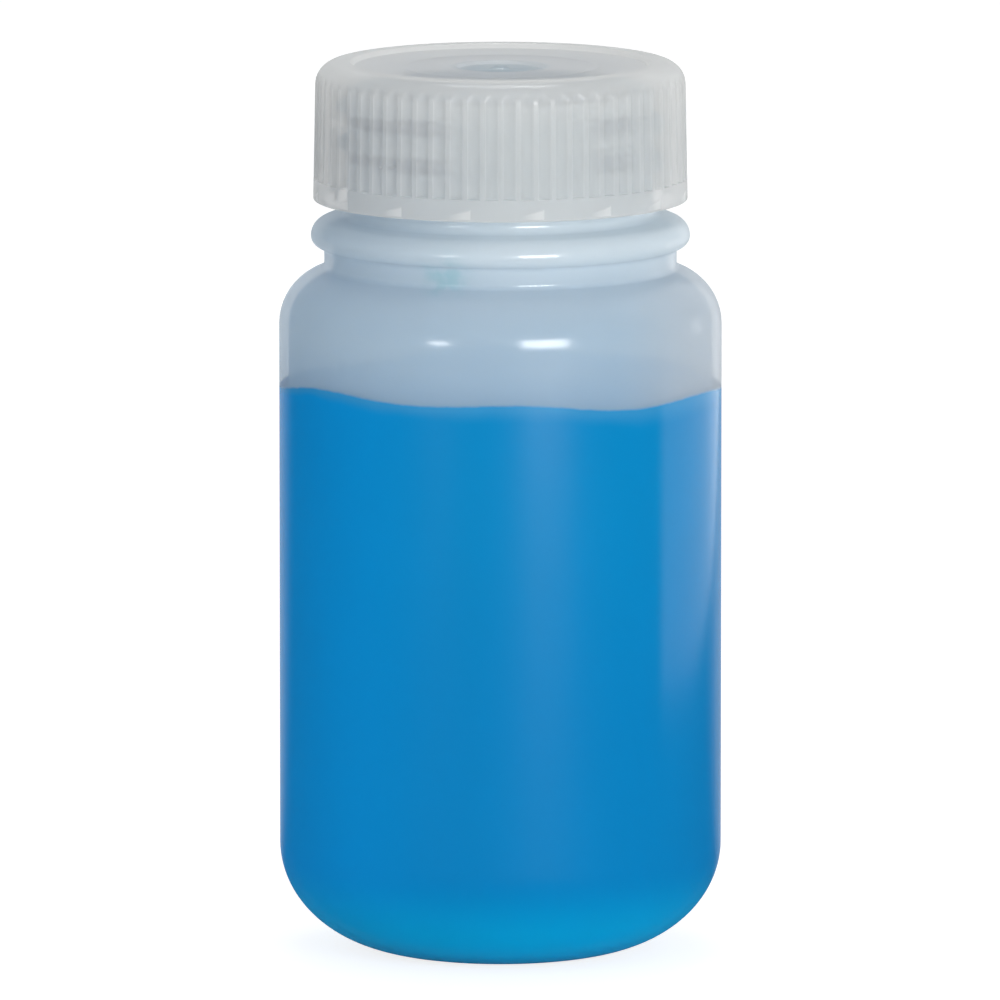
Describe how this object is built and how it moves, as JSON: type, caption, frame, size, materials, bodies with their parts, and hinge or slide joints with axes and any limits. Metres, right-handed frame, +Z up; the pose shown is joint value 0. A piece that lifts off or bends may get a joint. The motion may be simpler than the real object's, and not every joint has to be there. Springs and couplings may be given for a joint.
{
  "type": "wide-mouth bottle",
  "caption": "Translucent wide-mouth laboratory bottle with a ribbed screw cap, part filled with blue liquid.",
  "frame": {"origin": "middle of the foot ring, on the surface the bottle stands on", "axes": "+Z up along the bottle's axis, towards the cap; a grip rib of the cap faces -Y"},
  "size_m": [0.0505, 0.0504, 0.1023],
  "materials": {
    "bottle_plastic": "translucent milky polyethylene, soft gloss",
    "cap_plastic": "translucent milky polypropylene, soft gloss",
    "blue_liquid": "clear saturated blue aqueous liquid"
  },
  "bodies": {
    "vessel": {"bottle": "bottle_plastic", "liquid": "blue_liquid"},
    "closure": {"cap": "cap_plastic"}
  },
  "joints": [
    {"name": "cap_lift", "type": "slide", "parent": "vessel", "child": "closure", "axis": [0, 0, 1], "range_m": [0, 0.03]}
  ]
}
